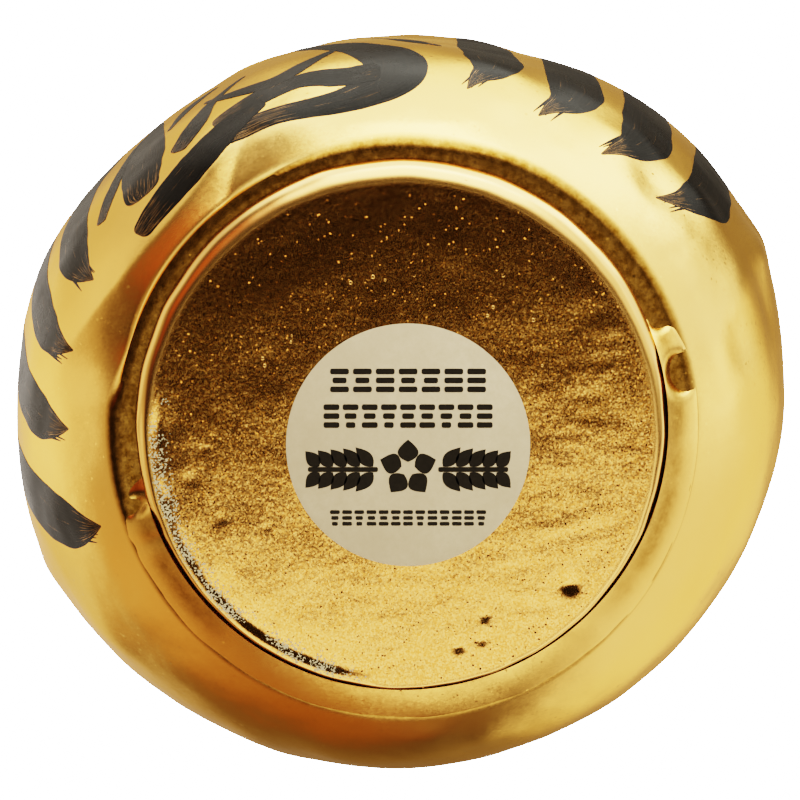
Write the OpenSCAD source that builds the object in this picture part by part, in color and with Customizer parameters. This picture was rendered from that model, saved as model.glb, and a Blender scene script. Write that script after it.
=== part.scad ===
// Daruma doll: a hollow papier-mache body made of two pulp half shells, closed
// underneath by a clay weight that it stands on.
// Millimetres. +Z is up, the face looks along -Y, +X is to the right of someone
// who looks from the front. The origin is the centre of the ring it stands on.

/* [Body] */
// Width across the sides, at the widest height
body_w = 103; // [95:1:115]
// Depth from belly to back, at the widest height
body_d = 96; // [90:1:108]
// Overall height
body_h = 110; // [104:1:118]
// Height of the widest level
belly_z = 46; // [42:1:50]
// Squareness of the lower half: 2 is a plain ellipsoid
lower_power = 2.4; // [2.2:0.1:2.8]
// Squareness of the upper half
upper_power = 2.1; // [2:0.1:2.4]
// Thickness of the pulp wall
wall = 1.6; // [1.4:0.1:2.4]

/* [Face] */
// Half width of the face hollow
face_half_w = 31; // [28:1:33]
// Half height of the face hollow
face_half_h = 24; // [21:1:26]
// Height of the middle of the face
face_z = 71; // [70:1:74]
// Depth of the face hollow
face_depth = 3.5; // [2:0.5:5]
// Height of the rolled hood edge around the face
hood_rise = 1.5; // [0.5:0.1:2.5]
// How far the hood swells out over the brow
visor_rise = 4.5; // [2:0.5:6]
// Radius of each eyeball
eye_r = 9; // [7:0.5:10]
// Distance from the middle line to each eye
eye_x = 13.5; // [12:0.5:15]
// How far each eyeball stands out
eye_rise = 2.5; // [1:0.5:4]
// How far the tip of the nose stands out
nose_rise = 4; // [3:0.5:5]

/* [Base] */
// Diameter of the clay weight's foot
foot_d = 65; // [60:1:66]
// How far the foot stands below the body
foot_h = 3; // [2.5:0.5:4]
// Rounding of the foot's lower edge
foot_round = 2.3; // [1:0.1:2.4]
// Width of the flat ring that the doll stands on
ring_w = 2; // [1.5:0.5:3]
// Depth of the shallow dish inside the ring
dish_depth = 0.2; // [0.2:0.1:0.6]
// Diameter of the plug that goes up into the body
plug_d = 50; // [44:1:54]
// Height of the plug above the foot
plug_h = 8; // [6:1:14]

/* [Label] */
// Diameter of the round paper label
label_d = 30; // [24:1:40]
// Thickness of the label
label_t = 0.15; // [0.1:0.05:0.2]

/* [Paper strips] */
// Width of the strips pasted inside over the joint
strip_w = 8; // [6:1:12]
// Thickness of a pasted strip
strip_t = 0.3; // [0.2:0.1:0.5]

/* [Hidden] */

paste_gap = 0.15;                 // paste between a strip and the wall
plug_gap = 0.4;                   // room around the plug in the body's hole
label_shift = 1.8;                // the label is stuck on this far off centre, to the back
hole_r = plug_d / 2 + plug_gap;
foot_r = foot_d / 2;
seat_r = foot_r + 2;              // edge of the flat underside round the foot
bead_size = 1.1;                  // height and width of the glue bead
dish_flat_r = label_d / 2 + label_shift + 0.4;    // level middle of the dish
row_count = 42;                   // rings from the seat up to the crown
front_columns = 52;               // columns round the front half
back_columns = 32;                // columns round the back half
centre = [0, 0, belly_z];
outer_size = [body_w / 2, body_d / 2, body_h - belly_z];
lower_reach = belly_z + 6;        // the lower half would close 6 mm below the floor

gold = "#D9AE4E";
clay = "#C9A24A";
paper_white = "#D9CDB4";
kraft = "#CBB79A";
glue_amber = "#B98A3A";

// ---- the body's surface ----

function smooth(t) = let (s = min(1, max(0, t))) s * s * (3 - 2 * s);

// Unit vector from an azimuth (0 is +X, 270 is the front) and an elevation.
function ray(azimuth, elevation) =
    [cos(elevation) * cos(azimuth), cos(elevation) * sin(azimuth), sin(elevation)];

// Distance from the centre to a body that is inset by so much, along a unit vector.
// Its level sections are oval at the belly and turn round towards the foot.
function reach(d, inset) =
    let (
        power = d.z < 0 ? lower_power : upper_power,
        tall = (d.z < 0 ? lower_reach : outer_size.z) - inset,
        rounding = smooth((-asin(d.z) - 10) / 40),
        deep = outer_size.y + (outer_size.x - outer_size.y) * rounding - inset,
        flat = norm([d.x / (outer_size.x - inset), d.y / deep])
    )
    pow(pow(flat, power) + pow(abs(d.z) / tall, power), -1 / power);

// A rounded bump, 1 at its middle and 0 at its edge. x and z are counted from the
// middle of the face.
function bump(x, z, middle, size) =
    let (away = norm([(x - middle.x) / size.x, (z - middle.y) / size.y]))
    smooth(1 - away);

// The nose: narrow between the eyes, widest and highest at its tip, then cut in.
function nose(x, z) =
    let (
        tip = -7,
        down = min(1, max(0, (7 - z) / (7 - tip))),
        half = 3 + 4 * pow(down, 2),
        side = smooth(1.25 - abs(x) / half),
        under = smooth(1 - (tip - z) / 3.5)
    )
    nose_rise * side * under * smooth(down * 1.4) * (0.35 + 0.65 * down);

// How far the face pushes the wall back (+) or out (-), by place on the front.
function face_push(x, height) =
    let (
        z = height - face_z,
        away = norm([x / face_half_w, z / face_half_h]),
        hollow = face_depth * smooth((1 - away) / 0.3),
        hood = hood_rise * smooth(1 - abs(away - 1.1) / 0.25) * smooth((z + 24) / 16),
        visor = visor_rise * bump(x, z, [0, face_half_h + 3], [52, 26]),
        eyes = eye_rise * smooth(1.6 - 1.6 * norm([abs(x) - eye_x, z - 3]) / (eye_r + 1)),
        brow = 1.8 * bump(abs(x), z, [eye_x, 14], [13, 6]),
        cheeks = 2 * bump(abs(x), z, [16, -11], [11, 9]),
        mouth = 1.2 * bump(x, z, [0, -15], [9, 4.5]),
        chin = 1.2 * bump(x, z, [0, -21], [10, 4])
    )
    hollow - hood - visor - eyes - brow - nose(x, z) - cheeks - mouth - chin;

// The push fades out before the joint line, where the two halves have to meet.
function pushed(p, front) =
    front ? p + [0, face_push(p.x, p.z) * smooth((-p.y - 4) / 18), 0] : p;

// One upright line of points from the hole's edge over the seat to the crown.
function upright(azimuth, inset, front) =
    let (
        floor_z = foot_h + inset,
        seat = seat_r - inset,
        low = -atan((belly_z - floor_z) / seat),
        side = [cos(azimuth), sin(azimuth), 0]
    )
    concat(
        [side * hole_r + [0, 0, floor_z], side * seat + [0, 0, floor_z]],
        [
            for (row = [1 : row_count - 1])
                let (d = ray(azimuth, low + (90 - low) * row / row_count))
                pushed(centre + d * reach(d, inset), front)
        ]
    );

function crown(inset) = centre + [0, 0, outer_size.z - inset];

// ---- pieces ----

// One half shell. Its columns go round from the left or right joint line, and they
// stand closer in the middle, where the face is.
module half_shell(start, columns, crowding, front) {
    rows = row_count + 1;
    azimuths = [
        for (i = [0 : columns])
            let (u = 2 * i / columns - 1)
            start + 90 + 90 * ((1 - crowding) * u + crowding * pow(u, 3))
    ];
    outer = [for (a = azimuths) each upright(a, 0, front)];
    inner = [for (a = azimuths) each upright(a, wall, front)];
    skip = len(outer);
    top = 2 * skip;
    wall_faces = [
        for (i = [0 : columns - 1], j = [0 : rows - 2])
            let (k = i * rows + j, m = k + rows)
            each [
                [k, k + 1, m + 1], [k, m + 1, m],
                [skip + k, skip + m + 1, skip + k + 1], [skip + k, skip + m, skip + m + 1]
            ]
    ];
    crown_faces = [
        for (i = [0 : columns - 1])
            let (k = i * rows + rows - 1, m = k + rows)
            each [[k, top, m], [skip + k, skip + m, top + 1]]
    ];
    hole_faces = [
        for (i = [0 : columns - 1])
            let (k = i * rows, m = k + rows)
            each [[k, m, skip + m], [k, skip + m, skip + k]]
    ];
    last = columns * rows;
    joint_faces = [
        for (j = [0 : rows - 2])
            each [
                [j, skip + j, skip + j + 1], [j, skip + j + 1, j + 1],
                [last + j, last + j + 1, skip + last + j + 1],
                [last + j, skip + last + j + 1, skip + last + j]
            ]
    ];
    end = last + rows - 1;
    crown_joint = [
        [rows - 1, skip + rows - 1, top + 1], [rows - 1, top + 1, top],
        [end, top, top + 1], [end, top + 1, skip + end]
    ];
    polyhedron(
        concat(outer, inner, [crown(0), crown(wall)]),
        concat(wall_faces, crown_faces, hole_faces, joint_faces, crown_joint)
    );
}

module shell_front() {
    color(gold) half_shell(180, front_columns, 0.35, true);
}

module shell_back() {
    color(gold) half_shell(0, back_columns, 0, false);
}

// A strip of paper pasted inside along the joint line. Its angles run in the plane
// of the joint, from 0 at the +X side over 90 at the crown to 180 at the -X side.
module seam_strip(from, to, steps) {
    half = asin(strip_w / body_w);
    function across(angle, lean) =
        [cos(angle) * cos(lean), sin(lean), sin(angle) * cos(lean)];
    function on_wall(angle, lean, depth) =
        let (d = across(angle, lean)) centre + d * (reach(d, wall) - depth);
    ring = [
        for (i = [0 : steps])
            let (angle = from + (to - from) * i / steps)
            each [
                for (lean = [-half, 0, half]) on_wall(angle, lean, paste_gap),
                for (lean = [half, 0, -half]) on_wall(angle, lean, paste_gap + strip_t)
            ]
    ];
    sides = [
        for (i = [0 : steps - 1], j = [0 : 5])
            let (k = 6 * i + j, m = 6 * i + (j + 1) % 6)
            each [[k, m, m + 6], [k, m + 6, k + 6]]
    ];
    function cap(k) = [
        [k, k + 5, k + 4], [k, k + 4, k + 1],
        [k + 1, k + 4, k + 3], [k + 1, k + 3, k + 2]
    ];
    function turned(faces) = [for (f = faces) [f[2], f[1], f[0]]];
    polyhedron(ring, concat(sides, cap(0), turned(cap(6 * steps))));
}

module seam_strip_right() {
    color(kraft) seam_strip(-42, 34, 16);
}

module seam_strip_left() {
    color(kraft) seam_strip(146, 222, 16);
}

module seam_strip_crown() {
    color(kraft) seam_strip(40, 140, 20);
}

// The moulded clay weight: a foot with a rounded edge, dished inside the ring that
// it stands on, and a plug that centres it in the body's hole.
module base_weight() {
    ring_outer = foot_r - foot_round;
    ring_inner = ring_outer - ring_w;
    plug_r = plug_d / 2;
    plug_top = foot_h + plug_h;
    bevel = 2;
    edge = [
        for (a = [-90 : 15 : 0])
            [ring_outer + foot_round * cos(a), foot_round + foot_round * sin(a)]
    ];
    color(clay)
        rotate_extrude($fn = 96)
            polygon(concat(
                [[0, dish_depth], [dish_flat_r, dish_depth], [ring_inner, 0]],
                edge,
                [
                    [foot_r, foot_h], [plug_r, foot_h],
                    [plug_r, plug_top - bevel], [plug_r - bevel, plug_top], [0, plug_top]
                ]
            ));
}

// The bead of hide glue squeezed out round the foot, where it meets the body.
module glue_bead() {
    color(glue_amber)
        rotate_extrude($fn = 96)
            polygon(concat(
                [[foot_r, foot_h]],
                [
                    for (a = [180 : -30 : 90])
                        [
                            foot_r + bead_size * (1 + cos(a)),
                            foot_h - bead_size * (1 - sin(a))
                        ]
                ]
            ));
}

// The round paper label, stuck in the dish a little off centre.
module label() {
    color(paper_white)
        translate([0, label_shift, dish_depth - label_t])
            cylinder(h = label_t, d = label_d, $fn = 96);
}

shell_front();
shell_back();
seam_strip_left();
seam_strip_right();
seam_strip_crown();
base_weight();
glue_bead();
label();
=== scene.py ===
import bpy
import bmesh
import math
import random
from mathutils import Matrix, Vector, noise
from mathutils.bvhtree import BVHTree


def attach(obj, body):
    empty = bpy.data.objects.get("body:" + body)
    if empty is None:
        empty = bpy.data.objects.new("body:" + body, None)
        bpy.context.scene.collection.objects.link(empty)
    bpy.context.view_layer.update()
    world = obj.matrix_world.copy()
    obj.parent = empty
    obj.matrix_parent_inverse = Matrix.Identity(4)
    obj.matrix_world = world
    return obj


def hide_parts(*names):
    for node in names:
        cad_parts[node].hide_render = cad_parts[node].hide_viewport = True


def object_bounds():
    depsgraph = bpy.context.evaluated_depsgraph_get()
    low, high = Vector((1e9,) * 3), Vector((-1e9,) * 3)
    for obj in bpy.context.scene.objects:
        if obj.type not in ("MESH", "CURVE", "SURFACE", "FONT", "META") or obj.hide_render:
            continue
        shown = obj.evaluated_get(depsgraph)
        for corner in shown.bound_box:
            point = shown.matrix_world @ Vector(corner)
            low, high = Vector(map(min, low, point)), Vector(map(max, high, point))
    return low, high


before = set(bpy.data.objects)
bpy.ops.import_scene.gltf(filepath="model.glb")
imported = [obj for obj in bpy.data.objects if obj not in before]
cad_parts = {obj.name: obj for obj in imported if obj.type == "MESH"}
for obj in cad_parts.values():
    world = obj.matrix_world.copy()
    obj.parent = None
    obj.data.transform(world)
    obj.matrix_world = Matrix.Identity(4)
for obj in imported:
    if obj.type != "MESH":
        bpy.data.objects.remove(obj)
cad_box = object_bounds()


# ---- The body: two half shells -------------------------------------------------
# The hollow body is moulded from paper pulp in a front and a back half, about 1.6 mm
# thick, dried, pasted together and sprayed with gold lacquer. The halves meet a
# quarter turn from the face, where a low soft ridge is left over the joint.

MM = 0.001
WALL = 1.6
CENTRE = Vector((0, 0, 46))
HALF_WIDTH, HALF_DEPTH, UPPER_HEIGHT, LOWER_HEIGHT = 51.5, 48, 64, 54
UPPER_POWER, LOWER_POWER = 2.1, 2.4
FOOT_RADIUS, FOOT_HEIGHT = 32.5, 3
HOLE_RADIUS = 25.4
FACE_Z, FACE_HALF_WIDTH, FACE_HALF_HEIGHT, FACE_DEPTH = 71, 31, 24, 3.5
EYE_X, EYE_Z, EYE_RADIUS = 13.5, 3, 9


def smooth(t):
    t = min(1, max(0, t))
    return t * t * (3 - 2 * t)


def bump(x, z, middle, size):
    return smooth(1 - math.hypot((x - middle[0]) / size[0], (z - middle[1]) / size[1]))


def turned(a, b):
    """Degrees between two azimuths, without sign."""
    return abs((a - b + 180) % 360 - 180)


def nose(x, z):
    """The nose in relief: narrow between the eyes, widest and highest at its tip."""
    down = min(1, max(0, (7 - z) / 14))
    half = 3 + 4 * down ** 2
    side = smooth(1.25 - abs(x) / half)
    under = smooth(1 - (-7 - z) / 3.5)
    return 4 * side * under * smooth(down * 1.4) * (0.35 + 0.65 * down)


def face_push(x, height):
    """How far the face's relief moves the wall back (+) or out (-), in millimetres."""
    z = height - FACE_Z
    away = math.hypot(x / FACE_HALF_WIDTH, z / FACE_HALF_HEIGHT)
    push = FACE_DEPTH * smooth((1 - away) / 0.2)
    push -= 1.5 * smooth(1 - abs(away - 1.1) / 0.25) * smooth((z + 24) / 16)
    push -= 4.5 * bump(x, z, (0, FACE_HALF_HEIGHT + 3), (52, 26))
    push -= 2.5 * smooth(1.6 - 1.6 * math.hypot(abs(x) - EYE_X, z - EYE_Z) / (EYE_RADIUS + 1))
    push -= 1.8 * bump(abs(x), z, (EYE_X, 14), (13, 6))
    push -= 2 * bump(abs(x), z, (16, -11), (11, 9))
    push -= 1.2 * bump(x, z, (0, -15), (9, 4.5))
    push -= 1.2 * bump(x, z, (0, -21), (10, 4))
    return push - nose(x, z)


def reach(d):
    """Distance from the body's centre to its wall, along the unit vector d."""
    elevation = math.degrees(math.asin(max(-1, min(1, d.z))))
    rounding = smooth((-elevation - 10) / 40)
    deep = HALF_DEPTH + (HALF_WIDTH - HALF_DEPTH) * rounding
    flat = math.hypot(d.x / HALF_WIDTH, d.y / deep)
    power = LOWER_POWER if d.z < 0 else UPPER_POWER
    tall = LOWER_HEIGHT if d.z < 0 else UPPER_HEIGHT
    far = (flat ** power + (abs(d.z) / tall) ** power) ** (-1 / power)
    if elevation < -35:  # the flat underside that the foot is glued to, with a rounded edge
        seat, sharp = (CENTRE.z - FOOT_HEIGHT) / -d.z, 240
        far = seat * ((far / seat) ** -sharp + 1) ** (-1 / sharp)
    return far


def flattening(p):
    """Two flats pressed into the wall under the belly, meeting in a corner, in millimetres."""
    azimuth = math.degrees(math.atan2(p.y, p.x)) % 360
    depths = []
    for turn, far, slope in ((294.5, 37.7, 0.15), (243.4, 38.5, 0.4)):
        a = math.radians(turn)
        inside = far - p.x * math.cos(a) - p.y * math.sin(a)
        depths.append(slope * max(0, inside) if turned(azimuth, turn) < 85 else 60)
    ends = smooth((316 - azimuth) / 18) * smooth((azimuth - 208) / 16)
    outside = smooth((math.hypot(p.x, p.y) - 35) / 1.4)
    return min(depths) * ends * outside * smooth((22 - p.z) / 6)


def unevenness(p):
    """The hand-finished wall: slow swells, small dents, flats and the ridge over the joint."""
    if p.z < FOOT_HEIGHT + 0.3 and math.hypot(p.x, p.y) < FOOT_RADIUS + 1:
        return 0
    azimuth = math.degrees(math.atan2(p.y, p.x))
    level = smooth((p.z - 8) / 26) * smooth((100 - p.z) / 40)
    slow = noise.noise(p / 17 + Vector((3, 7, 1))) * 0.4
    for middle, width, rise in (
        (309, 17, -1.5), (226, 17, 1.3), (180, 12, 0.5), (140, 34, -0.8), (20, 12, -0.3),
    ):  # the body is not quite round
        slow += rise * math.exp(-(turned(azimuth, middle) / width) ** 2) * level
    for x, y, z, wide, rise in (
        (46, 2, 16, 4.5, 0.7), (49, 8, 24, 5, -0.5), (43, 9, 11, 3.5, -0.45), (46, -8, 18, 4, 0.5),
        (41, -14, 12, 3.5, -0.4), (39, -21, 14, 4, 0.4),
        (-46, 10, 18, 6, 0.4), (-42, -18, 14, 5, -0.3), (-24, 38, 14, 5, 0.35), (-30, 36, 20, 6, -0.4),
        (22, 42, 12, 3, 0.4), (30, -34, 16, 5, 0.3),
    ):  # shallow dents and swellings left by the hands that pasted the pulp
        slow += rise * math.exp(-(p - Vector((x, y, z))).length_squared / wide ** 2)
    rougher = 0.12 + 0.08 * smooth((30 - p.z) / 10)
    quick = noise.noise(p / 6.5 + Vector((9, 2, 5))) * rougher
    fine = noise.noise(p / 2.2 + Vector((4, 4, 8))) * 0.03
    ridge = math.exp(-((p.y - 0.6) / 3.4) ** 2) * smooth((p.z - 16) / 20)
    ridge *= (1 + 0.6 * noise.noise(p / 9)) * (0.35 + 0.55 * smooth((p.x + 12) / 24))
    return (slow + quick + fine + ridge) * smooth((p.z - FOOT_HEIGHT) / 4) - flattening(p)


def on_body(d, lift=0):
    """The point on the finished wall along d, raised by so many millimetres."""
    p = CENTRE + d * reach(d)
    p += d * (unevenness(p) + lift)
    if p.y < 0:
        p.y += face_push(p.x, p.z) * smooth((-p.y - 4) / 18)
    return p


def direction(azimuth, elevation):
    """Unit vector: azimuth 0 is +X and 270 the front, elevation is above level."""
    a, e = math.radians(azimuth), math.radians(elevation)
    return Vector((math.cos(e) * math.cos(a), math.cos(e) * math.sin(a), math.sin(e)))


def select_faces(piece, wanted):
    """In edit mode, selects the faces whose middle passes the test, and no others."""
    mesh = bmesh.from_edit_mesh(piece.data)
    for face in mesh.faces:
        face.select_set(bool(wanted(face.calc_center_median())))
    mesh.select_flush_mode()
    bmesh.update_edit_mesh(piece.data)


# a unit sphere, finer where the edge of the seat, the face and the joint will be
bpy.ops.object.select_all(action="DESELECT")
bpy.ops.mesh.primitive_uv_sphere_add(segments=240, ring_count=160, radius=1)
body = bpy.context.object
bpy.ops.object.mode_set(mode="EDIT")
bpy.ops.mesh.select_mode(type="FACE")
select_faces(body, lambda c: -0.86 < c.z < -0.6)
bpy.ops.mesh.subdivide(number_cuts=1)
select_faces(body, lambda c: c.y < 0 and abs(c.x) < 0.68 and -0.02 < c.z < 0.86)
bpy.ops.mesh.subdivide(number_cuts=1)
select_faces(body, lambda c: abs(c.y) < 0.12 and abs(c.x) > 0.5)
bpy.ops.mesh.subdivide(number_cuts=1)
bpy.ops.object.mode_set(mode="OBJECT")
# painted shade: the groove attribute is 1 on the flat seat round the weight, where the gold material
# darkens the colour to stand in for the shade in that recess
groove = body.data.attributes.new("groove", "FLOAT", "POINT")
for vertex in body.data.vertices:
    vertex.co = on_body(vertex.co.normalized())
    p = vertex.co
    near = smooth(37.4 - p.xy.length)
    groove.data[vertex.index].value = near * smooth((FOOT_HEIGHT + 0.9 - p.z) / 0.8)
bpy.ops.object.mode_set(mode="EDIT")
select_faces(body, lambda c: c.z < FOOT_HEIGHT + 0.2 and math.hypot(c.x, c.y) < HOLE_RADIUS)
bpy.ops.mesh.delete(type="FACE")
bpy.ops.object.mode_set(mode="OBJECT")
body.data.transform(Matrix.Scale(MM, 4))


def half_shell(name, keep_front):
    """One half of the body, cut along the joint and given its wall."""
    bpy.ops.object.select_all(action="DESELECT")
    body.select_set(True)
    bpy.context.view_layer.objects.active = body
    bpy.ops.object.duplicate()
    half = bpy.context.object
    half.name = half.data.name = name
    bpy.ops.object.mode_set(mode="EDIT")
    bpy.ops.mesh.select_all(action="SELECT")
    bpy.ops.mesh.bisect(
        plane_co=(0, 0, 0), plane_no=(0, 1, 0), clear_outer=keep_front, clear_inner=not keep_front
    )
    bpy.ops.object.mode_set(mode="OBJECT")
    wall = half.modifiers.new("wall", "SOLIDIFY")
    wall.thickness = WALL * MM
    wall.offset = -1
    bpy.ops.object.modifier_apply(modifier="wall")
    bpy.ops.object.shade_smooth_by_angle(angle=math.radians(50))
    return half


shell_front = half_shell("body_front", True)
shell_back = half_shell("body_back", False)
bpy.data.objects.remove(body)


def tint(code):
    """An sRGB hex colour as linear RGBA."""
    parts = [int(code[i : i + 2], 16) / 255 for i in (1, 3, 5)]
    return [c / 12.92 if c <= 0.04045 else ((c + 0.055) / 1.055) ** 2.4 for c in parts] + [1]


def node(tree, kind, settings=None, values=None, **inputs):
    """Adds a node. A link is given as (node, output name), anything else is a value."""
    made = tree.nodes.new("ShaderNode" + kind)
    for name, value in (settings or {}).items():
        setattr(made, name, value)
    named = [(name.replace("_", " "), value) for name, value in inputs.items()]
    for name, value in list(enumerate(values or [])) + named:
        if isinstance(value, tuple) and len(value) == 2 and hasattr(value[0], "outputs"):
            tree.links.new(value[0].outputs[value[1]], made.inputs[name])
        elif value is not None:
            made.inputs[name].default_value = value
    return made


def new_material(name):
    """An empty node material, with its object's own coordinates as the first node."""
    material = bpy.data.materials.new(name)
    material.use_nodes = True
    material.node_tree.nodes.clear()
    return material, material.node_tree, node(material.node_tree, "TexCoord")


def tipped(tree, where, cell, amount, stray):
    """The surface normal, tipped flake by flake: cells per metre, tilt, tilt of strays."""
    flakes = node(tree, "TexVoronoi", Vector=(where, "Object"), Scale=cell)
    middle = node(tree, "VectorMath", {"operation": "SUBTRACT"}, [(flakes, "Color"), [0.5, 0.5, 0.5]])
    parts = node(tree, "SeparateColor", None, [(flakes, "Color")])
    few = node(tree, "Math", {"operation": "POWER"}, [(parts, "Blue"), 80.0])
    most = node(tree, "MapRange", None, [(few, "Value"), 0.0, 1.0, amount, stray])
    tilt = node(tree, "VectorMath", {"operation": "SCALE"}, [(middle, "Vector")], Scale=(most, "Result"))
    surface = node(tree, "NewGeometry")
    total = node(tree, "VectorMath", {"operation": "ADD"}, [(tilt, "Vector"), (surface, "Normal")])
    return node(tree, "VectorMath", {"operation": "NORMALIZE"}, [(total, "Vector")]), flakes


# Gold lacquer: bronze flakes in clear lacquer, sprayed. A metal with a satin gloss, a
# fine sparkle of single flakes and a colour that wanders a little with its thickness. In
# the groove round the weight, painted shade turns the gold a speckled dark brown. The
# flakes are drawn 0.3 mm across, coarser than real ones, so that they show.
gold, tree, where = new_material("sprayed_gold_lacquer")
glint, flakes = tipped(tree, where, 3300, 0.025, 0.2)
skin = node(tree, "TexNoise", Vector=(where, "Object"), Scale=420, Detail=4)
relief = node(
    tree, "Bump", Strength=0.1, Distance=0.0002, Height=(skin, "Fac"), Normal=(glint, "Vector")
)
patches = node(tree, "TexNoise", Vector=(where, "Object"), Scale=60, Detail=3)
colour = node(tree, "Mix", {"data_type": "RGBA"}, [(patches, "Fac")])
colour.inputs[6].default_value = tint("#EBB062")
colour.inputs[7].default_value = tint("#F3C078")
# painted shade: the groove attribute, broken up by fine noise, darkens the gold towards #6E4C18 in the
# recess round the weight
groove_shade = node(tree, "Attribute", {"attribute_name": "groove"})
shade_speckle = node(tree, "TexNoise", Vector=(where, "Object"), Scale=900, Detail=4, Roughness=0.7)
share = node(tree, "MapRange", None, [(shade_speckle, "Fac"), 0.35, 0.7, 1.0, 0.65])
shaded = node(tree, "Math", {"operation": "MULTIPLY"}, [(groove_shade, "Fac"), (share, "Result")])
deepened = node(tree, "Mix", {"data_type": "RGBA"}, [(shaded, "Value")])
tree.links.new(colour.outputs["Result"], deepened.inputs[6])
deepened.inputs[7].default_value = tint("#6E4C18")
shader = node(
    tree, "BsdfPrincipled", Base_Color=(deepened, "Result"), Metallic=1, Roughness=0.27,
    Specular_Tint=tint("#F4E0BC"), Normal=(relief, "Normal"),
)
node(tree, "OutputMaterial", Surface=(shader, "BSDF"))
for shell, replaced in ((shell_front, "shell_front"), (shell_back, "shell_back")):
    shell.data.materials.append(gold)
    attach(shell, "root")
    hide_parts(replaced)


# ---- The seam strips -----------------------------------------------------------
# Strips of mulberry paper pasted over the joint inside the body, one at each side and
# one over the crown. Only their colour is added here; nobody sees them from outside.

# Mulberry paper: warm off-white and matt, with long fibres that lie every way.
pulp, tree, where = new_material("mulberry_paper")
fibres = node(
    tree, "TexNoise", Vector=(where, "Object"), Scale=700, Detail=6, Roughness=0.75, Distortion=1.5
)
cloud = node(tree, "TexNoise", Vector=(where, "Object"), Scale=90, Detail=3)
both = node(tree, "Math", {"operation": "MULTIPLY"}, [(fibres, "Fac"), (cloud, "Fac")])
shade = node(tree, "MapRange", None, [(both, "Value"), 0.1, 0.4])
colour = node(tree, "Mix", {"data_type": "RGBA"}, [(shade, "Result")])
colour.inputs[6].default_value = tint("#CDBF9F")
colour.inputs[7].default_value = tint("#E6DCC4")
relief = node(tree, "Bump", Strength=0.3, Distance=0.0002, Height=(fibres, "Fac"))
shader = node(
    tree, "BsdfPrincipled", Base_Color=(colour, "Result"), Roughness=0.85, Normal=(relief, "Normal")
)
node(tree, "OutputMaterial", Surface=(shader, "BSDF"))
for name in ("seam_strip_left", "seam_strip_right", "seam_strip_crown"):
    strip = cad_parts[name]
    strip.data.materials.clear()
    strip.data.materials.append(pulp)


# ---- The weight ----------------------------------------------------------------
# A puck of clay pressed into a mould and left to dry, with a rounded lower edge. It
# is glued under the body, so the doll rights itself, and lacquered with it. Its face
# keeps air bubbles, dents and the strokes of the trowel.

FACE_RECESS, FACE_EDGE = 0.12, 29.9
PLUG_RADIUS, PLUG_TOP = 25, 11
RIM_ROUND = 2.3

# half of its section, from the middle of the face round the rim to the top of the plug
profile = [(r * 0.45, FACE_RECESS * (1 - (r * 0.45 / FACE_EDGE) ** 2)) for r in range(67)]
profile += [(FACE_EDGE + 0.05, 0)]
for step in range(15):
    angle = math.radians(-90 + 90 * step / 14)
    profile.append((
        FOOT_RADIUS - RIM_ROUND + RIM_ROUND * math.cos(angle),
        RIM_ROUND + RIM_ROUND * math.sin(angle),
    ))
profile += [(FOOT_RADIUS, FOOT_HEIGHT), (PLUG_RADIUS, FOOT_HEIGHT + 0.02)]
profile += [(PLUG_RADIUS, PLUG_TOP - 2), (PLUG_RADIUS - 2, PLUG_TOP), (12, PLUG_TOP), (0, PLUG_TOP)]


def spun(name, section, steps):
    """A closed ring or solid: a section of (radius, height) points turned round the Z axis."""
    bpy.ops.object.select_all(action="DESELECT")
    bpy.ops.mesh.primitive_plane_add(size=1)
    piece = bpy.context.object
    piece.name = piece.data.name = name
    outline = bmesh.new()
    corners = [outline.verts.new((r * MM, 0, z * MM)) for r, z in section]
    for a, b in zip(corners, corners[1:]):
        outline.edges.new((a, b))
    outline.to_mesh(piece.data)
    outline.free()
    bpy.ops.object.mode_set(mode="EDIT")
    bpy.ops.mesh.select_all(action="SELECT")
    bpy.ops.mesh.spin(steps=steps, angle=math.tau, center=(0, 0, 0), axis=(0, 0, 1))
    bpy.ops.mesh.select_all(action="SELECT")
    bpy.ops.mesh.remove_doubles(threshold=1e-7)
    bpy.ops.mesh.normals_make_consistent(inside=False)
    bpy.ops.object.mode_set(mode="OBJECT")
    return piece


def broken_edge(azimuth):
    """1 along the stretch of rim where the lacquer has cracked away, 0 elsewhere."""
    return smooth((48 - turned(azimuth, 168)) / 14)


def foot_edge(azimuth):
    """Radius of the flat face and of the whole foot: its rim is widest in front."""
    front = math.cos(math.radians(azimuth - 294))
    return 31.15 - 0.5 * front, 32.8 + 0.55 * front


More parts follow.
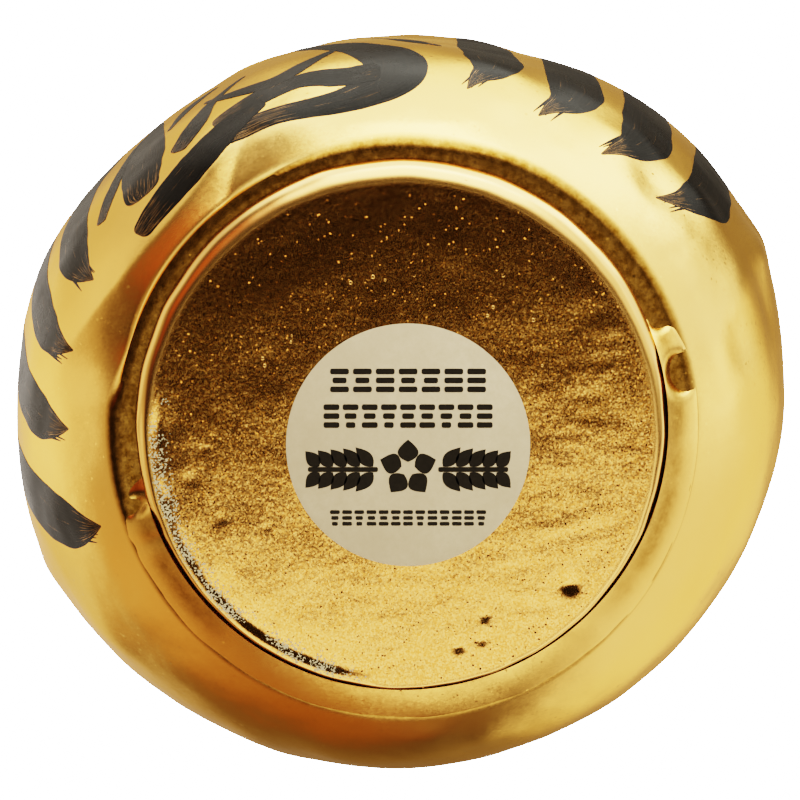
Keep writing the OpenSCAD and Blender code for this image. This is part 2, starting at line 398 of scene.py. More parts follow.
def clay(p):
    """A point of the weight in millimetres, moved by the marks left in the clay."""
    r, azimuth = math.hypot(p.x, p.y), math.degrees(math.atan2(p.y, p.x))
    if p.z > FOOT_HEIGHT + 1 or r < 0.1 or (r < 26 and p.z > 1):
        return p
    face, foot = foot_edge(azimuth)
    inner = FOOT_RADIUS - RIM_ROUND
    grown = face * r / inner if r < inner else face + (foot - face) * (r - inner) / RIM_ROUND
    if p.z > FOOT_HEIGHT - 0.01:
        grown = min(grown, foot) if r > PLUG_RADIUS + 1 else r
    p = Vector((p.x * grown / r, p.y * grown / r, p.z))
    r = grown
    if p.z > FOOT_HEIGHT - 0.2:
        return p
    flat = smooth((30.6 - r) / 2)
    cut = 0
    for x, y, wide, deep in (
        (-0.2, 25, 0.5, 0.05), (-1.8, 27.6, 0.4, 0.05), (-4.8, 27.2, 0.5, 0.06), (10.9, 25.8, 0.9, 0.1),
        (-26.1, -5.4, 0.8, 0.015), (-24.8, 0.6, 0.6, 0.012), (-22.9, -8, 0.6, 0.01), (-20, 4, 0.7, 0.01),
    ):  # pits and dents
        cut += deep * math.exp(-((p.x - x) ** 2 + (p.y - y) ** 2) / wide ** 2)
    along = Vector((p.x * 0.94 + p.y * 0.34, p.y * 0.94 - p.x * 0.34, 0))
    streak = noise.noise(Vector((along.x / 7, along.y / 1.7, 3)))
    worked = smooth((p.y + 0.5 * p.x - 2) / 16)  # the half that the trowel went over last
    worked *= 0.4 + 0.9 * noise.noise(p / 8)
    cut += flat * (0.014 * noise.noise(p / 6) + 0.003 * noise.noise(p / 1.6))
    cut += flat * 0.014 * streak * worked
    edge = broken_edge(azimuth)
    edge *= 0.9 + 0.5 * noise.noise(p / 4)
    cut += edge * 0.3 * math.exp(-((r - 32.2) / 0.4) ** 2)  # a crack outside the rim
    cut += edge * 0.07 * math.exp(-((r - 30.2) / 0.6) ** 2)  # a furrow inside it
    cut += edge * 0.03 * smooth((30.9 - r) / 0.8) * smooth((r - 26.5) / 3)
    rim = smooth((r - 29.5) / 1.5) * noise.noise(p / 4) * 0.12  # it isn't quite round
    moved = Vector((p.x, p.y, p.z + cut))
    moved.xy *= 1 + rim / max(r, 1)
    return moved


weight = spun("clay_weight", profile, 480)
marks = weight.data.attributes.new("wear", "FLOAT", "POINT")
grain = weight.data.attributes.new("grain", "FLOAT", "POINT")
for vertex in weight.data.vertices:
    p = vertex.co / MM
    r, azimuth = math.hypot(p.x, p.y), math.degrees(math.atan2(p.y, p.x))
    bare = smooth((r - 27.3) / 2.2) * smooth((30.3 - r) / 0.3) * broken_edge(azimuth)
    marks.data[vertex.index].value = bare * smooth(0.75 + 1.8 * noise.noise(p / 3))
    grain.data[vertex.index].value = smooth((30.3 - r) / 0.5)
    vertex.co = clay(p) * MM
bpy.ops.object.shade_smooth_by_angle(angle=math.radians(50))

# air bubbles that burst in the lacquer and left tiny rings
random.seed(4)
bubbles = []
for turn in range(70):
    a = math.radians(random.uniform(225, 345) if turn % 3 else random.uniform(0, 360))
    r = random.uniform(16.5, 27) if turn % 5 else random.uniform(30, 31.2)
    size = random.uniform(0.1, 0.2)
    bpy.ops.object.select_all(action="DESELECT")
    bpy.ops.mesh.primitive_torus_add(
        major_segments=14, minor_segments=6, major_radius=size * MM, minor_radius=size * 0.42 * MM
    )
    ring = bpy.context.object
    spot = clay(Vector((r * math.cos(a), r * math.sin(a), FACE_RECESS if r < 28 else 0.3)))
    ring.data.transform(Matrix.Translation(spot * MM))
    ring.data.shade_smooth()
    bubbles.append(ring)


def joined(name, pieces):
    """Several meshes made into one."""
    bpy.ops.object.select_all(action="DESELECT")
    for piece in pieces:
        piece.select_set(True)
    bpy.context.view_layer.objects.active = pieces[0]
    bpy.ops.object.join()
    whole = bpy.context.object
    whole.name = whole.data.name = name
    return whole


weight = joined("clay_weight", [weight] + bubbles)

# Lacquer over clay: the same gold, but it dried over a sandy face, so coarse grains each
# catch the light their own way. Where it cracked off, dull grey clay shows through.
sandy, tree, where = new_material("gold_lacquer_on_clay")
rough_part = node(tree, "Attribute", {"attribute_name": "grain"})
wear = node(tree, "Attribute", {"attribute_name": "wear"})
glint, flakes = tipped(tree, where, 5200, 0.014, 0.24)
surface = node(tree, "NewGeometry")
normal = node(
    tree, "Mix", {"data_type": "VECTOR"},
    [(rough_part, "Fac"), None, None, None, (surface, "Normal"), (glint, "Vector")],
)
skin = node(tree, "TexNoise", Vector=(where, "Object"), Scale=1500, Detail=3)
relief = node(
    tree, "Bump", Strength=0.1, Distance=0.00004, Height=(skin, "Fac"), Normal=(normal, "Result")
)
grit = node(tree, "SeparateColor", None, [(flakes, "Color")])
deep = node(tree, "Math", {"operation": "MULTIPLY"}, [(grit, "Blue"), (rough_part, "Fac")])
colour = node(tree, "Mix", {"data_type": "RGBA"}, [(deep, "Value")])
colour.inputs[6].default_value = tint("#EFB874")
colour.inputs[7].default_value = tint("#D6924A")
gloss = node(tree, "MapRange", None, [(rough_part, "Fac"), 0.0, 1.0, 0.24, 0.09])
metal = node(
    tree, "BsdfPrincipled", Base_Color=(colour, "Result"), Metallic=1, Roughness=(gloss, "Result"),
    Specular_Tint=tint("#F4E0BC"), Normal=(relief, "Normal"),
)
bare = node(tree, "BsdfPrincipled", Base_Color=tint("#A89E86"), Roughness=0.5)
chips = node(tree, "Math", {"operation": "MULTIPLY"}, [(wear, "Fac"), 0.5])
chipped = node(tree, "Math", {"operation": "LESS_THAN"}, [(grit, "Red"), (chips, "Value")])
both = node(tree, "MixShader", None, [(chipped, "Value"), (metal, "BSDF"), (bare, "BSDF")])
node(tree, "OutputMaterial", Surface=(both, "Shader"))
weight.data.materials.clear()
weight.data.materials.append(sandy)
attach(weight, "root")
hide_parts("base_weight")


# ---- The glue ------------------------------------------------------------------
# A bead of hide glue closes the groove between the weight and the body. It was wiped
# by hand, so it is thin in front, patchy at the sides and full at the back, and it
# was lacquered over with the rest.

GLUE_RADIUS = 33.8
LIDDED = 4.3  # the height at which the glue is out of sight behind the seat


def glue_height(azimuth):
    """How much of the groove is filled, from 0 to 1."""
    around = Vector((math.cos(math.radians(azimuth)), math.sin(math.radians(azimuth)), 0))
    full = smooth((105 - turned(azimuth, 97)) / 20)
    side = smooth((turned(azimuth, 97) - 80) / 10) * smooth((70 - turned(azimuth, 190)) / 30)
    return full * (1 - 0.8 * side * smooth(0.4 - 2.4 * noise.noise(around * 7 + Vector((2, 5, 1)))))


# a ring of round section, spread across the groove until it meets the foot and the wall
bead = spun("glue_ring", [
    (GLUE_RADIUS + math.cos(math.radians(t * 15)), FOOT_HEIGHT + math.sin(math.radians(t * 15)))
    for t in range(25)
], 480)
bead_groove_shade = bead.data.attributes.new("groove", "FLOAT", "POINT")
for vertex in bead.data.vertices:
    p = vertex.co / MM
    r, azimuth = math.hypot(p.x, p.y), math.degrees(math.atan2(p.y, p.x))
    fill = glue_height(azimuth)
    across, deep = min(1, max(0, (r - GLUE_RADIUS + 1) / 2)), max(0, p.z - FOOT_HEIGHT)
    inside = foot_edge(azimuth)[1] - 0.08
    outside = 34.4 + 2.8 * fill
    level = (1 - (outside / HALF_WIDTH) ** LOWER_POWER) ** (1 / LOWER_POWER)
    wall_height = max(CENTRE.z - LOWER_HEIGHT * level, FOOT_HEIGHT + 0.3)
    low, high = LIDDED - 3.75 * fill, LIDDED + (wall_height - LIDDED) * min(1, fill * 1.5)
    height = low + (high - low) * across * (0.83 + 0.17 * across) + 0.9 * deep
    new_r = inside + (outside - inside) * across
    uneven = noise.noise(p / 4 + Vector((6, 1, 3))) * 0.12 + noise.noise(p / 0.9) * 0.02
    height += uneven * fill * (1 - across) * (across + 0.2) * 2
    for middle, wide, place, size in (
        (1.5, 1.4, 0.4, 2.4), (13, 3.4, 0.46, 3.6), (197, 2.4, 0.4, 1.8), (188, 1.8, 0.4, 1.2),
    ):  # gaps that were missed
        far = (turned(azimuth, middle) / wide) ** 2 + ((across - place) / 0.3) ** 2
        height += size * math.exp(-far ** 1.5) * fill
    height += 0.3 * smooth((across - 0.85) / 0.15)  # its outer edge dips behind the wall
    # painted shade: a soft dark band across the glue at the sides, in patches, stored in the groove
    # attribute for the gold material to darken
    sides = max(smooth((42 - turned(azimuth, 28)) / 16), smooth((34 - turned(azimuth, 184)) / 16))
    sides *= smooth(1.1 + 1.6 * noise.noise(p / 5 + Vector((1, 4, 2))))
    bead_groove_shade.data[vertex.index].value = 0.75 * sides * math.exp(-((across - 0.3) / 0.26) ** 2)
    vertex.co = Vector((p.x * new_r / r, p.y * new_r / r, height)) * MM
bpy.ops.object.shade_smooth_by_angle(angle=math.radians(60))
bead.data.materials.append(gold)
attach(bead, "root")
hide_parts("glue_bead")


# ---- The label -----------------------------------------------------------------
# A round paper label, die-cut and stuck in the dish of the foot, a little to the back.
# Its print is a plain ornament: a blossom between sprigs, and rows of short bars.

LABEL_RADIUS, LABEL_SHIFT, LABEL_LIFT = 15, 1.8, 0.05
ROLL = math.radians(24.5)  # the label was stuck on turned by this much

bpy.ops.object.select_all(action="DESELECT")
bpy.ops.mesh.primitive_cylinder_add(vertices=256, radius=LABEL_RADIUS * MM, depth=0.2 * MM)
label = bpy.context.object
label.name = label.data.name = "paper_label"
label.data.transform(Matrix.Translation(Vector((0, LABEL_SHIFT, LABEL_LIFT + 0.1)) * MM))
edges = label.modifiers.new("worn edge", "BEVEL")
edges.width = 0.03 * MM
edges.segments = 2
bpy.ops.object.modifier_apply(modifier="worn edge")
bpy.ops.object.shade_smooth_by_angle(angle=math.radians(30))

# Label paper: uncoated, slightly grey cream, with a soft fibre grain and a faint sheen.
paper, tree, where = new_material("label_paper")
fibre = node(tree, "TexNoise", Vector=(where, "Object"), Scale=900, Detail=5, Roughness=0.7)
cloud = node(tree, "TexNoise", Vector=(where, "Object"), Scale=130, Detail=2)
blend = node(tree, "Math", {"operation": "MULTIPLY"}, [(fibre, "Fac"), (cloud, "Fac")])
shade = node(tree, "MapRange", None, [(blend, "Value"), 0.12, 0.4])
colour = node(tree, "Mix", {"data_type": "RGBA"}, [(shade, "Result")])
colour.inputs[6].default_value = tint("#ADA08A")
colour.inputs[7].default_value = tint("#B9AD98")
relief = node(tree, "Bump", Strength=0.15, Distance=0.0001, Height=(fibre, "Fac"))
shader = node(
    tree, "BsdfPrincipled", Base_Color=(colour, "Result"), Roughness=0.62, Normal=(relief, "Normal")
)
node(tree, "OutputMaterial", Surface=(shader, "BSDF"))
label.data.materials.append(paper)
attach(label, "root")
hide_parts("label")

# Printing ink: a flat, slightly glossy black film on the paper.
black, tree, where = new_material("printing_ink")
mottle = node(tree, "TexNoise", Vector=(where, "Object"), Scale=1400, Detail=3)
colour = node(tree, "Mix", {"data_type": "RGBA"}, [(mottle, "Fac")])
colour.inputs[6].default_value = tint("#15120F")
colour.inputs[7].default_value = tint("#221E1A")
shader = node(
    tree, "BsdfPrincipled", Base_Color=(colour, "Result"), Roughness=0.5, Specular_IOR_Level=0.15
)
node(tree, "OutputMaterial", Surface=(shader, "BSDF"))


def printed(corners):
    """One flat printed shape: its outline in the label's own millimetres, x right and y up."""
    film = bpy.data.meshes.new("print")
    places = []
    for x, y in corners:
        world_x = x * math.cos(ROLL) + y * math.sin(ROLL)
        world_y = x * math.sin(ROLL) - y * math.cos(ROLL) + LABEL_SHIFT
        places.append((world_x * MM, world_y * MM, (LABEL_LIFT - 0.012) * MM))
    film.from_pydata(places, [], [list(range(len(places)))])
    piece = bpy.data.objects.new("print", film)
    bpy.context.scene.collection.objects.link(piece)
    return piece


def bar(x, y, wide, tall):
    """A short bar with rounded ends."""
    r = min(wide, tall) * 0.35
    around = []
    for cx, cy, start in ((wide / 2 - r, tall / 2 - r, 0), (r - wide / 2, tall / 2 - r, 90),
                          (r - wide / 2, r - tall / 2, 180), (wide / 2 - r, r - tall / 2, 270)):
        for step in range(5):
            a = math.radians(start + 22.5 * step)
            around.append((x + cx + r * math.cos(a), y + cy + r * math.sin(a)))
    return printed(around)


def leaf(x, y, turn, long, wide):
    """A pointed leaf or petal, growing from (x, y) in the direction turn."""
    a = math.radians(turn)
    right_side = [(t / 12, 0.5 * wide * math.sin(math.pi * (t / 12) ** 0.8)) for t in range(13)]
    left_side = [(u, -w) for u, w in right_side[-2:0:-1]]
    return printed([
        (x + long * u * math.cos(a) - w * math.sin(a), y + long * u * math.sin(a) + w * math.cos(a))
        for u, w in right_side + left_side
    ])


shapes = []
for height, count, wide, tall, gap in (
    (8.0, 7, 2.3, 2.9, 0.5), (3.6, 9, 1.95, 2.9, 0.4), (-9.0, 13, 1.2, 1.9, 0.3),
):  # the rows of bars
    for place in range(count):
        middle = (place - (count - 1) / 2) * (wide + gap)
        part = random.choice((0, 1, 2))
        for level, share in ((0.38, 1), (0, 0.75 if part else 1), (-0.38, 1 if part < 2 else 0.6)):
            shapes.append(bar(middle, height + tall * level, wide * share, tall * 0.24))
for petal in range(5):  # the blossom
    a = 90 + 72 * petal
    from_x, from_y = 0.85 * math.cos(math.radians(a)), -2.9 + 0.85 * math.sin(math.radians(a))
    shapes.append(leaf(from_x, from_y, a, 2.75, 2.55))
for side in (-1, 1):  # the sprigs beside it
    shapes.append(bar(side * 8.0, -3.0, 8.6, 0.6))
    for step in range(5):
        x = side * (4.3 + 1.65 * step)
        for up_down in (-1, 1):
            slant = 90 - side * 90 + side * up_down * 48
            shapes.append(leaf(x, -3.0 + 0.36 * up_down, slant, 3.2 - 0.16 * step, 1.7))
label_print = joined("label_print", shapes)
film = label_print.modifiers.new("film", "SOLIDIFY")
film.thickness = 0.02 * MM
film.offset = 0
bpy.ops.object.modifier_apply(modifier="film")
label_print.data.materials.append(black)
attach(label_print, "root")


# ---- The brushwork -------------------------------------------------------------
# Painted by hand in black lacquer after the gold was dry: four curved strokes on each
# flank with hooked tails, and a flourish under the face. The film is thin and glossy;
# where the brush ran dry, its hairs leave the gold showing through.

def along(path, t):
    """A smooth curve through the path's points, at t from 0 to 1."""
    t *= len(path) - 1
    i = min(int(t), len(path) - 2)
    t -= i
    before, a, b, after = path[max(i - 1, 0)], path[i], path[i + 1], path[min(i + 2, len(path) - 1)]
    return [
        0.5 * (2 * q + (r - p) * t + (2 * p - 5 * q + 4 * r - s) * t * t + (3 * q - p - 3 * r + s) * t ** 3)
        for p, q, r, s in zip(before, a, b, after)
    ]


def wall_point(azimuth, elevation):
    """The point on the wall in that direction from the body's centre."""
    return on_body(direction(azimuth, elevation))


def back_to_wall(p, lift):
    """Puts a point back on the wall, along the line to the body's centre."""
    return on_body((p - CENTRE).normalized(), lift)


def stroke(path, steps=60, sides=8, lift=0.035, spot=wall_point, settle=back_to_wall, rough=0.06):
    """One brush stroke: a thin film laid along points of (azimuth, elevation, half width)."""
    bpy.ops.object.select_all(action="DESELECT")
    bpy.ops.mesh.primitive_grid_add(x_subdivisions=steps, y_subdivisions=sides, size=1)
    film = bpy.context.object
    spots = [spot(*along(path, i / steps)[:2]) for i in range(steps + 1)]
    seed = Vector(path[0]) * 3.7
    for vertex in film.data.vertices:
        u, v = vertex.co.x + 0.5, vertex.co.y * 2
        i = min(steps, round(u * steps))
        middle, ahead_of, behind = spots[i], spots[min(i + 1, steps)], spots[max(i - 1, 0)]
        out = (middle - CENTRE).normalized()
        side = (ahead_of - behind).cross(out).normalized()
        half = max(0.02, along(path, u)[2])
        half *= 1 + rough * noise.noise(Vector((u * 14, 2 * (v > 0), 0)) + seed)
        ends = min(1, (min(u, 1 - u) * (spots[0] - spots[-1]).length * 1.2 + 0.15) / half)
        half *= math.sqrt(max(0, 1 - (1 - ends) ** 2))
        vertex.co = settle(middle + side * half * v, lift) * MM
    return film


def painted(name, films, material, thick=0.16):
    """Strokes joined into one piece and given their thickness, sunk into the wall."""
    for film in films:
        facing = sum(face.normal.dot(face.center - CENTRE * MM) for face in film.data.polygons)
        if facing < 0:
            film.data.flip_normals()
    piece = joined(name, films)
    skin = piece.modifiers.new("film", "SOLIDIFY")
    skin.thickness = thick * MM
    skin.offset = -1
    bpy.ops.object.modifier_apply(modifier="film")
    bpy.ops.object.shade_smooth_by_angle(angle=math.radians(35))
    piece.data.materials.append(material)
    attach(piece, "root")


# Brush lacquer: soot black, a little brown where it is thin, drawn out in fine lines
# along the stroke. Towards the end of a stroke the bristles part and gold shows. Its IOR
# is below the 1.5 of a real lacquer, or the bright sky would turn the black grey.
brushed, tree, where = new_material("brushed_black_lacquer")
flow = node(tree, "UVMap")
lengthwise = node(tree, "Mapping", None, [(flow, "UV")], Scale=[2.5, 26, 1])
hairs = node(tree, "TexNoise", Vector=(lengthwise, "Vector"), Scale=1.6, Detail=4, Roughness=0.65)
pool = node(tree, "TexNoise", Vector=(where, "Object"), Scale=180, Detail=2)
thin = node(tree, "MapRange", None, [(hairs, "Fac"), 0.42, 0.7])
colour = node(tree, "Mix", {"data_type": "RGBA"}, [(thin, "Result")])
colour.inputs[6].default_value = tint("#060505")
colour.inputs[7].default_value = tint("#140F0B")
relief = node(tree, "Bump", Strength=0.25, Distance=0.0002, Height=(hairs, "Fac"))
wet = node(tree, "MapRange", None, [(pool, "Fac"), 0.3, 0.7, 0.22, 0.34])
ink = node(
    tree, "BsdfPrincipled", Base_Color=(colour, "Result"), Roughness=(wet, "Result"),
    IOR=1.17, Normal=(relief, "Normal"),
)
bare_gold = node(
    tree, "BsdfPrincipled", Base_Color=tint("#B98A50"), Metallic=1, Roughness=0.3
)
ends = node(tree, "SeparateXYZ", None, [(flow, "UV")])
dry = node(tree, "MapRange", None, [(ends, "X"), 0.72, 1.0, 0.0, 1.0])
amount = node(tree, "Math", {"operation": "MULTIPLY"}, [(dry, "Result"), 0.13])
level = node(tree, "Math", {"operation": "ADD"}, [(amount, "Value"), (hairs, "Fac")])
parted = node(tree, "MapRange", None, [(level, "Value"), 0.66, 0.72])
both = node(tree, "MixShader", None, [(parted, "Result"), (ink, "BSDF"), (bare_gold, "BSDF")])
node(tree, "OutputMaterial", Surface=(both, "Shader"))

random.seed(11)
films = []
for order, lean in ((38, 0), (52, 0.3), (65, 0.6), (78, 1.4)):  # the left flank of the doll
    middle = 270 + order + random.uniform(-0.8, 0.8)
    low = random.uniform(-1.2, 1.2)
    films.append(stroke([
        (middle + 2.5, 26, 0.6), (middle + 0.5, 17, 2.6), (middle - 0.5, 5, 3.3), (middle - 0.3, -10, 3.6),
        (middle + 0.4, -20 + low, 3.9), (middle + 1.2, -27.5 + low, 3.9),
        (middle + 1.0 - lean, -33 + low, 2.6), (middle - 0.9 - lean, -36.5 + low, 1.2),
        (middle - 2.4 - 2 * lean, -40 + low, 0.1),
    ], steps=90))
    for hair in range(4):  # single hairs of the brush beside the tail
        at = middle + random.uniform(-1.5, 2.2)
        films.append(stroke([
            (at, -32 + low, 0.3), (at - 1 - lean, -35.8 + low, 0.22),
            (at - 2.6 - lean, -38.2 + low - random.uniform(0, 1.8), 0.04),
        ], steps=16, sides=2, lift=0.03))
for order, top, low, wide in (  # its right flank
    (40.5, 1, 0, 1), (53, 16, -0.5, 0.9), (66.5, 22, -1, 1), (84, 24, -5, 1.15),
):
    middle = 270 - order
    films.append(stroke([
        (middle + 17, top, 0.6), (middle + 16.5, 0.55 * top - 2, 2 * wide),
        (middle + 14, -8 + 0.25 * top, 2.6 * wide),
        (middle + 9.5, -14 + low, 2.9 * wide), (middle + 4.5, -24 + low, 3.3 * wide),
        (middle + 1.5, -31 + low, 3.1 * wide), (middle + 0.2, -36 + low, 1.7 * wide),
        (middle, -40 + low, 0.1),
    ], steps=90))
    for hair in range(5):
        at = middle + random.uniform(-2.2, 2.2)
        films.append(stroke([
            (at + 0.8, -30 + low, 0.3), (at, -34.5 + low, 0.22),
            (at - random.uniform(0.2, 1), -37.5 + low - random.uniform(0, 2), 0.04),
        ], steps=16, sides=2, lift=0.03))
painted("flank_strokes", films, brushed)

films = [
    # the crest, from the left over the top and back under itself
    stroke([(277, -4, 0.8), (282, -14, 1.9), (288, -24, 3.0), (293, -32, 4.0), (292.5, -38.5, 3.9),
            (287, -41.5, 3.0), (279, -42.2, 2.1), (270, -40.8, 2.0), (262, -40, 2.2)], steps=130, sides=12),
    # the wave inside it
    stroke([(291, -36, 2.6), (285, -36, 2.4), (278, -34, 2.0), (270, -34.6, 2.2), (262, -36, 1.5)],
           steps=90, sides=10, lift=0.045),
    stroke([(284, -23, 0.6), (279, -28, 1.5), (273, -31, 1.7), (266, -28, 1.1), (262, -24, 0.4)],
           lift=0.05),
    # the long pull to the left
    stroke([(271, -36, 1.2), (264, -38.5, 2.6), (257, -41, 3.0), (250, -42.3, 2.7), (240.5, -43.6, 1.6)],
           steps=90, sides=10, lift=0.055),
    # shorter touches beside it
    stroke([(253, -8, 0.8), (251.5, -18, 2.4), (249, -29, 3.7), (245.5, -38.5, 2.6)], lift=0.04),
    stroke([(251, -12, 0.3), (247, -21, 0.7), (242.5, -28, 1.2), (237.5, -33.5, 0.9)], lift=0.05),
    stroke([(269, -19, 0.4), (263, -27, 1.0), (259, -32, 1.9), (254.5, -35.5, 1.4)], lift=0.05),
    stroke([(264, -12, 0.5), (259.5, -19, 1.3), (255, -25.5, 0.4)], lift=0.04),
    stroke([(290, -6, 0.5), (296, -15, 1.9), (300, -22, 0.8)], lift=0.04),
]
painted("belly_flourish", films, brushed)


# ---- The face ------------------------------------------------------------------
# The face is painted last, in the hollow of the front half: a flesh coloured ground,
# blank white eyes ringed in black (the owner paints the pupils), brushed brows and
# beard, and a small red mouth. It is a plain doll's face, calm and even.

front = bmesh.new()
front.from_mesh(shell_front.data)
front_wall = BVHTree.FromBMesh(front)
front.free()


def face_spot(x, z):
    """The point of the face at x to the right of the middle and z above its centre."""
    start = Vector((x, -2 * HALF_DEPTH, FACE_Z + z))
    return front_wall.ray_cast(start * MM, Vector((0, 1, 0)))[0] / MM


def back_to_face(p, lift):
    """Puts a point back on the face, straight behind its own x and z."""
    spot = face_spot(p.x, p.z - FACE_Z)
    spot.y -= lift
    return spot


def face_patch(inside, half_x, half_z, middle, lift, power=2, steps=48, gap=0):
    """A painted oval on the face, or an oval ring if gap is the share left open."""
    bpy.ops.object.select_all(action="DESELECT")
    bpy.ops.mesh.primitive_grid_add(x_subdivisions=96, y_subdivisions=steps, size=1)
    film = bpy.context.object
    for vertex in film.data.vertices:
        turn = math.tau * (vertex.co.x + 0.5)
        out = gap + (1 - gap) * (vertex.co.y + 0.5)
        c, s = math.cos(turn), math.sin(turn)
        grow = (abs(c) ** power + abs(s) ** power) ** (-1 / power) * out * inside
        x, z = middle[0] + half_x * grow * c, middle[1] + half_z * grow * s
        vertex.co = back_to_face(Vector((x, 0, FACE_Z + z)), lift) * MM
    bpy.ops.object.mode_set(mode="EDIT")
    bpy.ops.mesh.select_all(action="SELECT")
    bpy.ops.mesh.remove_doubles(threshold=1e-7)
    bpy.ops.mesh.normals_make_consistent(inside=False)
    bpy.ops.object.mode_set(mode="OBJECT")
    return film


def face_stroke(path, steps=50, sides=8, lift=0.16):
    return stroke(path, steps, sides, lift, face_spot, back_to_face, 0.1)


def flat_paint(name, first, second, gloss):
    """Brushed doll paint: two shades that wander, and faint brush marks."""
    material, tree, where = new_material(name)
    cloud = node(tree, "TexNoise", Vector=(where, "Object"), Scale=110, Detail=3)
    drawn = node(tree, "Mapping", None, [(where, "Object")], Scale=[1, 1, 5])
    marks = node(tree, "TexNoise", Vector=(drawn, "Vector"), Scale=260, Detail=3)
    colour = node(tree, "Mix", {"data_type": "RGBA"}, [(cloud, "Fac")])
    colour.inputs[6].default_value = tint(first)
    colour.inputs[7].default_value = tint(second)
    relief = node(tree, "Bump", Strength=0.12, Distance=0.0002, Height=(marks, "Fac"))
    shader = node(
        tree, "BsdfPrincipled", Base_Color=(colour, "Result"), Roughness=gloss, Normal=(relief, "Normal")
    )
    node(tree, "OutputMaterial", Surface=(shader, "BSDF"))
    return material


flesh = flat_paint("flesh_paint", "#E3A888", "#EDBB9C", 0.5)
white_paint = flat_paint("white_paint", "#EFEAE0", "#F8F4EC", 0.35)
red_paint = flat_paint("red_paint", "#9E2418", "#B4301F", 0.4)

painted(
    "face_ground", [face_patch(1, 28.5, 21.5, (0, 0), 0.1, 2.3, 60)], flesh, 0.35
)
painted(
    "eye_whites",
    [face_patch(1, 8.3, 7.0, (side * EYE_X, EYE_Z), 0.18, 2, 20) for side in (-1, 1)],
    white_paint,
)
painted(
    "eye_rings",
    [face_patch(1, 9.1, 7.8, (side * EYE_X, EYE_Z), 0.23, 2, 4, 0.88) for side in (-1, 1)],
    brushed,
)
painted("mouth", [
    face_stroke([
        (-7, -15.2, 0.3), (-3.5, -15.4, 1.0), (0, -15.0, 1.15), (3.5, -15.4, 1.0), (7, -15.2, 0.3)],
        lift=0.18),
], red_paint)
films = [
    face_stroke([  # the line between the lips
        (-8.5, -15.3, 0.12), (-4, -15.0, 0.28), (0, -14.7, 0.3), (4, -15.0, 0.28), (8.5, -15.3, 0.12)],
        lift=0.26)
]
for side in (-1, 1):
    films.append(face_stroke([  # brow
        (side * 4.5, 14.0, 0.9), (side * 9, 17.2, 2.3), (side * 16, 18.0, 2.7), (side * 22, 14.5, 1.9),
        (side * 26, 9.5, 0.4)], lift=0.17))
    for step in range(7):  # hairs of the brow, swept outwards
        x, z = 8 + 2.6 * step, 17.6 - 0.13 * (step - 2.5) ** 2
        films.append(face_stroke([
            (side * x, z - 0.6, 0.35), (side * (x + 2.2), z + 1.3 - 0.35 * step, 0.4),
            (side * (x + 4.4), z + 1.9 - 0.8 * step, 0.06)], steps=16, sides=2, lift=0.19))
    for step in range(5):  # the sweeps of the beard down the cheek
        films.append(face_stroke([
            (side * (10.5 + 2.4 * step), -7.5 + 0.4 * step, 0.25),
            (side * (13.5 + 2.3 * step), -11.5 + 1.0 * step, 0.85),
            (side * (15.0 + 2.0 * step), -16.0 + 1.6 * step, 0.6),
            (side * (14.5 + 1.8 * step), -19.0 + 2.0 * step, 0.08)], steps=30, sides=4, lift=0.17))
    films.append(face_stroke([  # moustache
        (side * 1.2, -11.3, 0.3), (side * 4.5, -10.9, 0.9), (side * 8.5, -12.6, 0.7),
        (side * 11, -15.5, 0.08)],
        steps=30, sides=4, lift=0.20))
    films.append(face_stroke([  # nostril
        (side * 1.4, -7.9, 0.2), (side * 2.6, -7.5, 0.4), (side * 3.8, -7.9, 0.15)],
        steps=12, sides=2, lift=0.16))
for step in range(5):  # chin
    x = 2.2 * (step - 2)
    films.append(face_stroke([
        (x * 0.8, -18.2, 0.2), (x, -19.6, 0.42), (x * 1.1, -21.0, 0.06)], steps=12, sides=2, lift=0.18))
painted("brows_and_beard", films, brushed)


# ---- Floor, light and camera -----------------------------------------------------
# A pale sheet that is seen from above only, so that the doll's underside stays in view.

bpy.ops.mesh.primitive_plane_add(size=6)
floor = bpy.context.object
floor.name = "floor"
pale, tree, where = new_material("pale_sheet")
facing = node(tree, "NewGeometry")
path = node(tree, "LightPath")
seen = node(tree, "Math", {"operation": "SUBTRACT", "use_clamp": True}, [1.0, (facing, "Backfacing")])
lit = node(tree, "Math", {"operation": "MULTIPLY"}, [(seen, "Value"), (path, "Is Camera Ray")])
clear = node(tree, "BsdfTransparent")
paper = node(tree, "BsdfDiffuse", Color=tint("#F2F0EC"))
mix = node(tree, "MixShader", None, [(lit, "Value"), (clear, "BSDF"), (paper, "BSDF")])
node(tree, "OutputMaterial", Surface=(mix, "Shader"))
floor.data.materials.append(pale)

# camera: looks straight up at the foot, turned so that the face side is up and left
TILT = math.radians(6)
FOCAL = 180.0
DISTANCE = 490.8
level_up = Vector((math.sin(ROLL), -math.cos(ROLL), 0))
right = Vector((math.cos(ROLL), math.sin(ROLL), 0))
ahead = Vector((0, 0, 1)) * math.cos(TILT) - level_up * math.sin(TILT)
up = level_up * math.cos(TILT) + Vector((0, 0, 1)) * math.sin(TILT)
place = -right * 0.245 + up * 3.93 - ahead * DISTANCE
bpy.ops.object.camera_add()
camera = bpy.context.object
camera.data.lens = FOCAL
camera.data.sensor_width = 36
camera.data.clip_start = 0.01
camera.matrix_world = Matrix((
    (right.x, up.x, -ahead.x, place.x * MM),
    (right.y, up.y, -ahead.y, place.y * MM),
    (right.z, up.z, -ahead.z, place.z * MM),
    (0, 0, 0, 1),
))
bpy.context.scene.camera = camera

# The studio: soft lights drawn on the sky as round patches, each with a direction, a
# size, an edge and a colour.
world = bpy.data.worlds.new("studio")
bpy.context.scene.world = world
world.use_nodes = True
tree = world.node_tree
tree.nodes.clear()
sky = node(tree, "TexCoord")
look = node(tree, "VectorMath", {"operation": "NORMALIZE"}, [(sky, "Generated")])


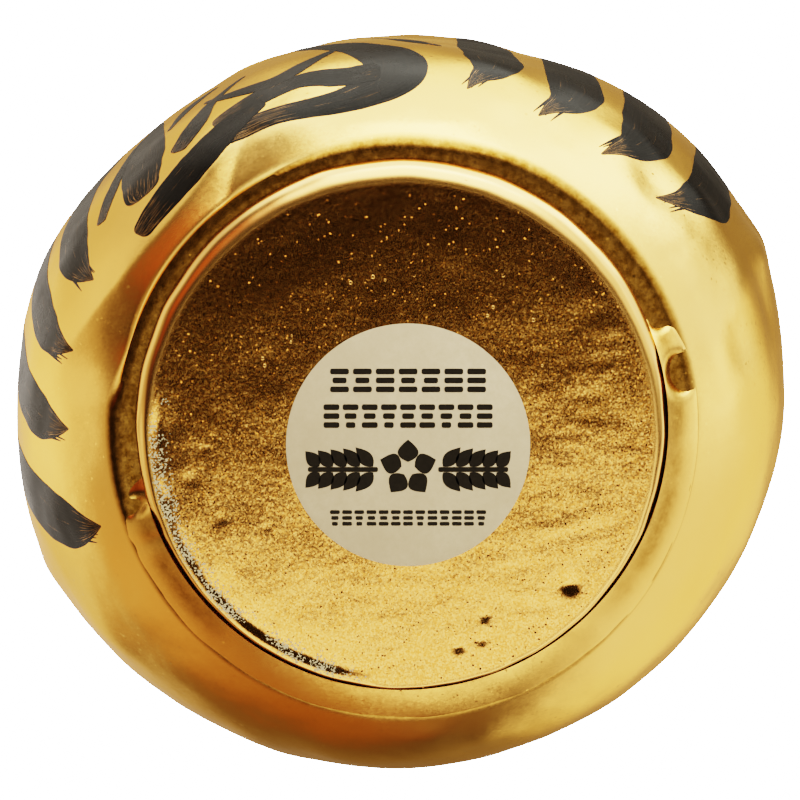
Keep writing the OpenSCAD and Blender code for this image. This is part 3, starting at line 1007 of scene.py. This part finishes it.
def toward(turn, away):
    """A direction from the doll: away from the camera's side, turned round its axis."""
    a, b = math.radians(turn), math.radians(away)
    return -ahead * math.cos(b) + (right * math.cos(a) + up * math.sin(a)) * math.sin(b)


def soft_light(turn, away, wide, tall, soft, colour, strength, before):
    """Adds an oval patch of light: half angles across and along, and how soft its edge is."""
    reach_x, reach_y = math.sin(math.radians(wide)), math.sin(math.radians(tall))
    a = math.radians(turn)
    across = up * math.cos(a) - right * math.sin(a)
    along = toward(turn, away + 90)
    x = node(tree, "VectorMath", {"operation": "DOT_PRODUCT"}, [(look, "Vector"), across / reach_x])
    y = node(tree, "VectorMath", {"operation": "DOT_PRODUCT"}, [(look, "Vector"), along / reach_y])
    z = node(tree, "VectorMath", {"operation": "DOT_PRODUCT"}, [(look, "Vector"), toward(turn, away)])
    flat = node(tree, "CombineXYZ", None, [(x, "Value"), (y, "Value"), 0.0])
    far = node(tree, "VectorMath", {"operation": "LENGTH"}, [(flat, "Vector")])
    edge = node(
        tree, "MapRange", {"interpolation_type": "SMOOTHSTEP"}, Value=(far, "Value"),
        From_Min=1 + soft, From_Max=1 - soft,
    )
    facing = node(tree, "Math", {"operation": "GREATER_THAN"}, [(z, "Value"), 0.0])
    shape = node(tree, "Math", {"operation": "MULTIPLY"}, [(edge, "Result"), (facing, "Value")])
    lamp = [c * strength for c in tint(colour)[:3]]
    glow = node(tree, "VectorMath", {"operation": "SCALE"}, [lamp], Scale=(shape, "Value"))
    total = node(tree, "VectorMath", {"operation": "ADD"}, [(glow, "Vector"), before])
    return (total, "Vector")


light = [0.028, 0.023, 0.0105]
for turn, away, wide, tall, soft, colour, strength in (
    (0, 180, 50, 50, 0.3, "#FFF0DC", 0.2),     # the wall behind the doll
    (80, 98, 44, 38, 0.2, "#FFFDF0", 3.2),     # the big soft box
    (30, 92, 34, 27, 0.4, "#FFFDF0", 1.8),     # its right end
    (56, 46, 46, 28, 0.2, "#FFF4D8", 1.5),     # the sheet that it shines on
    (86, 48, 28, 29, 0.2, "#FFF6E0", 3.4),     # the near part of that sheet
    (332, 112, 36, 42, 0.2, "#FFF4DC", 1.5),   # the wall on the right
    (146, 121, 44, 36, 0.15, "#FFF2E0", 0.8),  # the wall on the left
    (188, 99, 44, 32, 0.35, "#FFE2B8", 0.62),  # its lower part
    (240, 98, 34, 24, 0.5, "#FF9C4C", 0.3),    # the edge of the table
    (196, 144, 20, 26, 0.4, "#FFF6EC", 0.9),   # the far corner on the left
    (280, 49, 35.9, 35.9, 0.02, "#FFF4D8", 2.0),  # the table under the camera
    (145, 46, 20, 16, 0.4, "#FF7A34", 0.45),   # a red cloth at the upper left
):
    light = soft_light(turn, away, wide, tall, soft, colour, strength, light)
studio = node(tree, "Background", Color=light, Strength=1.0)
white = node(tree, "Background", Color=[1, 1, 1, 1], Strength=20.0)
path = node(tree, "LightPath")
mix = node(
    tree, "MixShader", None, [(path, "Is Camera Ray"), (studio, "Background"), (white, "Background")]
)
node(tree, "OutputWorld", Surface=(mix, "Shader"))
bpy.context.scene.view_settings.view_transform = "Filmic"
bpy.context.scene.view_settings.look = "High Contrast"

low, high = cad_box
